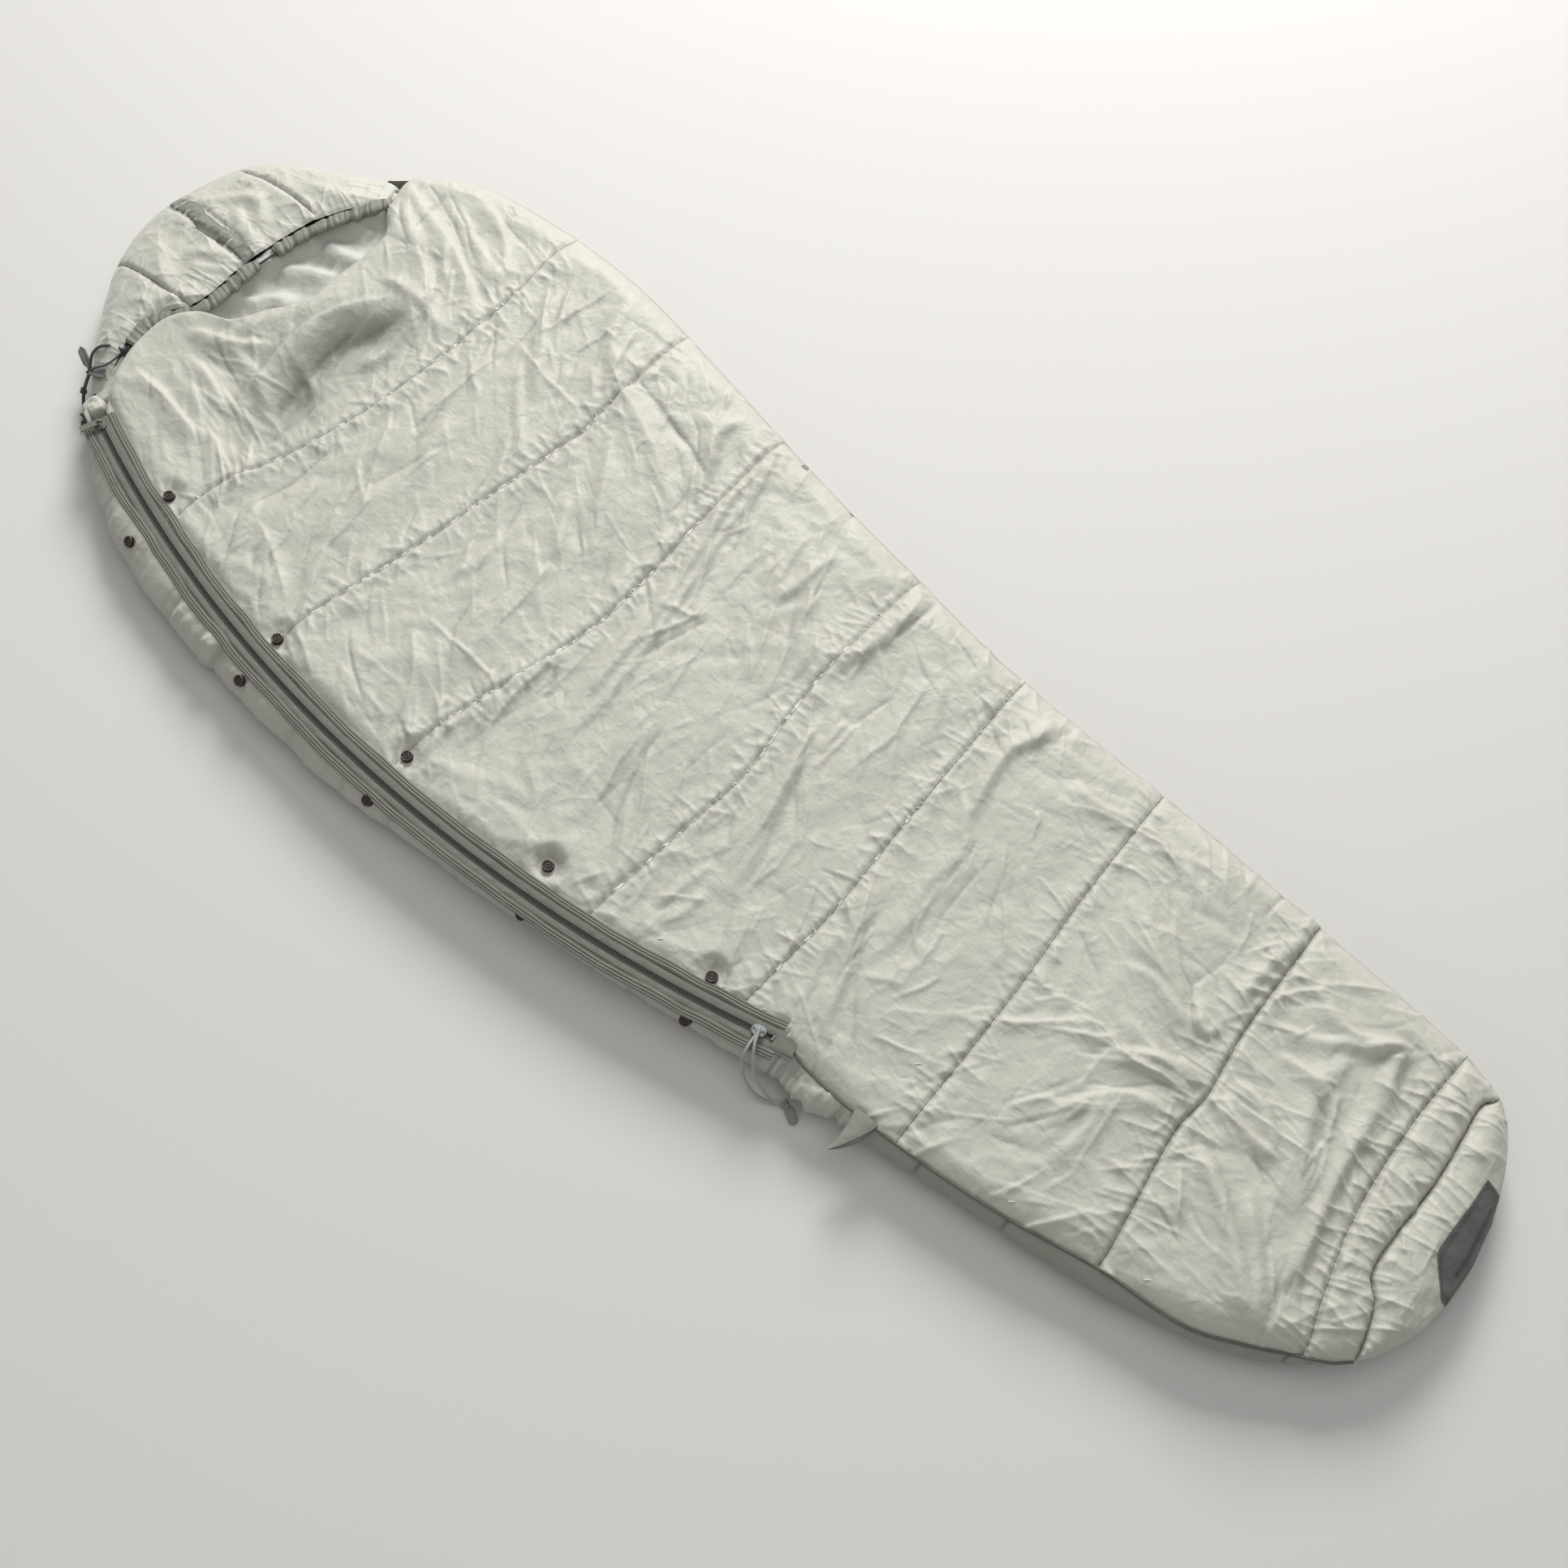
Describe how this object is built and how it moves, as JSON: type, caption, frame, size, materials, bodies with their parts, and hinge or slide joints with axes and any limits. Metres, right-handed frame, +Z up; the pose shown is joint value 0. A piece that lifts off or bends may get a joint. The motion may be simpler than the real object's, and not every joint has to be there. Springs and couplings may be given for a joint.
{
  "type": "mummy sleeping bag",
  "caption": "Quilted mummy sleeping bag laid flat, with a hood, drawcord, two-way side zipper with a cord pull and two rows of snap studs beside it.",
  "frame": {"origin": "on the ground under the middle of the bag's length and width", "axes": "+X from head to foot, -Y towards the zipper side, +Z up from the ground"},
  "size_m": [2.1876, 0.796, 0.0774],
  "materials": {
    "shell_fabric": "light sage ripstop nylon with a soft sheen",
    "side_band_fabric": "plain grey-green nylon, a little darker",
    "batting": "white polyester fill",
    "lining_fabric": "grey-green nylon taffeta",
    "tape_fabric": "woven grey-green tape and binding",
    "patch_fabric": "dark grey-green coated cloth",
    "coil": "dark nylon coil",
    "slider_metal": "light grey-blue enamelled zinc",
    "snap_metal": "black oxide worn to copper brown at the rims",
    "pull_cord": "braided grey-green cord",
    "pull_end": "moulded dark green plastic",
    "draw_cord": "dark braided cord and flat tape",
    "lock_plastic": "black moulded plastic",
    "spring_steel": "bright steel wire"
  },
  "bodies": {
    "bag": {"bottom_outer_shell": "side_band_fabric", "side_band_shell": "side_band_fabric", "top_outer_shell": "shell_fabric", "hood_outer_shell": "shell_fabric", "foot_end_shell": "shell_fabric", "bottom_batting": "batting", "side_band_batting": "batting", "top_batting": "batting", "hood_batting": "batting", "bottom_lining": "lining_fabric", "top_lining": "lining_fabric", "hood_lining": "lining_fabric", "hood_center_tape": "tape_fabric", "foot_patch": "patch_fabric", "far_side_tab": "patch_fabric", "zipper_tape_upper": "tape_fabric", "zipper_tape_lower": "tape_fabric", "zipper_coil_upper": "coil", "zipper_coil_lower": "coil", "zipper_binding_upper": "tape_fabric", "zipper_binding_lower": "tape_fabric", "draft_tube": "lining_fabric", "zipper_end_patch": "tape_fabric", "zipper_bottom_stop": "slider_metal", "side_seam_piping": "tape_fabric", "side_tab": "shell_fabric", "neck_edge_piping": "shell_fabric", "hood_drawcord_channel": "tape_fabric", "hood_drawcord": "draw_cord", "drawcord_free": "draw_cord", "draw_tape_loop": "draw_cord", "draw_tape_tail": "draw_cord", "draw_tape_knot": "draw_cord", "draw_tape_tail_knots": "draw_cord", "draw_tape_ends": "draw_cord", "upper_snap_studs": "snap_metal", "upper_snap_posts": "snap_metal", "lower_snap_studs": "snap_metal", "lower_snap_posts": "snap_metal"},
    "lower_slider": {"lower_slider": "slider_metal"},
    "lower_pull": {"lower_pull_cord": "pull_cord", "lower_pull_knot": "pull_cord", "lower_pull_end": "pull_end"},
    "upper_slider": {"upper_slider": "slider_metal"},
    "upper_pull": {"upper_pull_tab": "slider_metal"},
    "cord_lock": {"cord_lock_barrel": "lock_plastic", "cord_lock_spring": "spring_steel"},
    "lock_plunger": {"cord_lock_plunger": "lock_plastic"}
  },
  "joints": [
    {"name": "lower_slider_travel", "type": "hinge", "parent": "bag", "child": "lower_slider", "pos_m": [-0.225, 1.726, 0.058], "axis": [0, 0, 1], "range_deg": [-17, 0]},
    {"name": "lower_pull_swing", "type": "hinge", "parent": "lower_slider", "child": "lower_pull", "pos_m": [0.365, -0.2717, 0.0673], "axis": [0.959, 0.2832, 0], "range_deg": [-140, 0]},
    {"name": "upper_slider_travel", "type": "hinge", "parent": "bag", "child": "upper_slider", "pos_m": [-0.225, 1.726, 0.058], "axis": [0, 0, 1], "range_deg": [0, 13.5]},
    {"name": "upper_pull_swing", "type": "hinge", "parent": "upper_slider", "child": "upper_pull", "pos_m": [-0.838, -0.26476, 0.0673], "axis": [0.9557, -0.2943, 0], "range_deg": [-150, 0]},
    {"name": "cord_lock_slide", "type": "slide", "parent": "bag", "child": "cord_lock", "axis": [0.1483, -0.9889, 0], "range_m": [0, 0.007]},
    {"name": "cord_lock_press", "type": "slide", "parent": "cord_lock", "child": "lock_plunger", "axis": [0, 0, -1], "range_m": [0, 0.0025], "stiffness_N_per_m": 400, "springref_m": -0.002, "deforming": ["cord_lock_spring"]}
  ]
}
